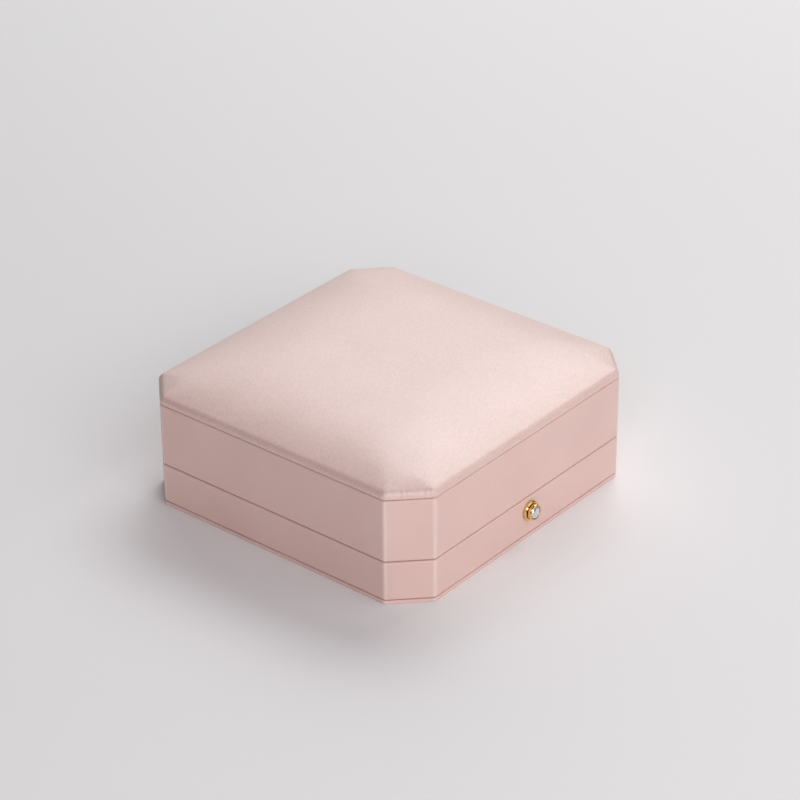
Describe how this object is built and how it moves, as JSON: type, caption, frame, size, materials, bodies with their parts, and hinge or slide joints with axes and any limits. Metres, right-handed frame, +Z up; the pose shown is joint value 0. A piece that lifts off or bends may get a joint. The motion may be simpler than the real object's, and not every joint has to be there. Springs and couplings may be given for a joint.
{
  "type": "jewelry box",
  "caption": "Octagonal jewelry box with a padded leatherette lid, a hinge across the back and a push-button latch with a crystal.",
  "frame": {"origin": "centre of the underside of the bottom board, which is what the box stands on", "axes": "+Z up, -Y out of the front wall with the push button, +Y towards the hinge, +X to the right seen from the front"},
  "size_m": [0.1, 0.1026, 0.0386],
  "materials": {
    "leatherette": "pale pink leatherette with a soft pearl sheen",
    "padded_leatherette": "pale pink leatherette with a fine silky grain, padded",
    "velvet": "pale short-pile velvet",
    "satin": "pale satin",
    "foam": "soft foam",
    "moulding": "plain moulded shell",
    "fibreboard": "thin fibreboard",
    "gold": "polished gold plate",
    "steel": "zinc-plated pressed steel",
    "crystal": "clear faceted crystal"
  },
  "bodies": {
    "base": {"bottom_board": "leatherette", "base_shell": "moulding", "base_wrap": "leatherette", "base_lining": "velvet", "insert_board": "fibreboard", "insert_pad": "velvet", "button_bezel": "gold", "lock_case": "steel", "lock_rivet_left": "steel", "lock_rivet_right": "steel", "button_spring": "steel", "hinge_base_leaf": "gold", "hinge_pin": "gold", "hinge_base_rivet_left": "gold", "hinge_base_rivet_right": "gold"},
    "button": {"button_plunger": "gold", "button_crystal": "crystal", "latch_plate": "steel", "latch_clip": "steel"},
    "lid": {"lid_shell": "moulding", "lid_wrap": "leatherette", "lid_lining": "velvet", "lid_inner_pad": "satin", "top_board": "fibreboard", "top_foam": "foam", "top_cover": "padded_leatherette", "strike_plate": "steel", "strike_rivet_left": "steel", "strike_rivet_right": "steel", "hinge_lid_leaf": "gold", "hinge_lid_rivet_left": "gold", "hinge_lid_rivet_right": "gold"}
  },
  "joints": [
    {"name": "lid_hinge", "type": "hinge", "parent": "base", "child": "lid", "pos_m": [0, 0.0495, 0.0131], "axis": [-1, 0, 0], "range_deg": [0, 105]},
    {"name": "button_press", "type": "slide", "parent": "base", "child": "button", "axis": [0, 1, 0], "range_m": [0, 0.001], "stiffness_N_per_m": 400, "springref_m": -0.0015, "deforming": ["button_spring"]}
  ]
}
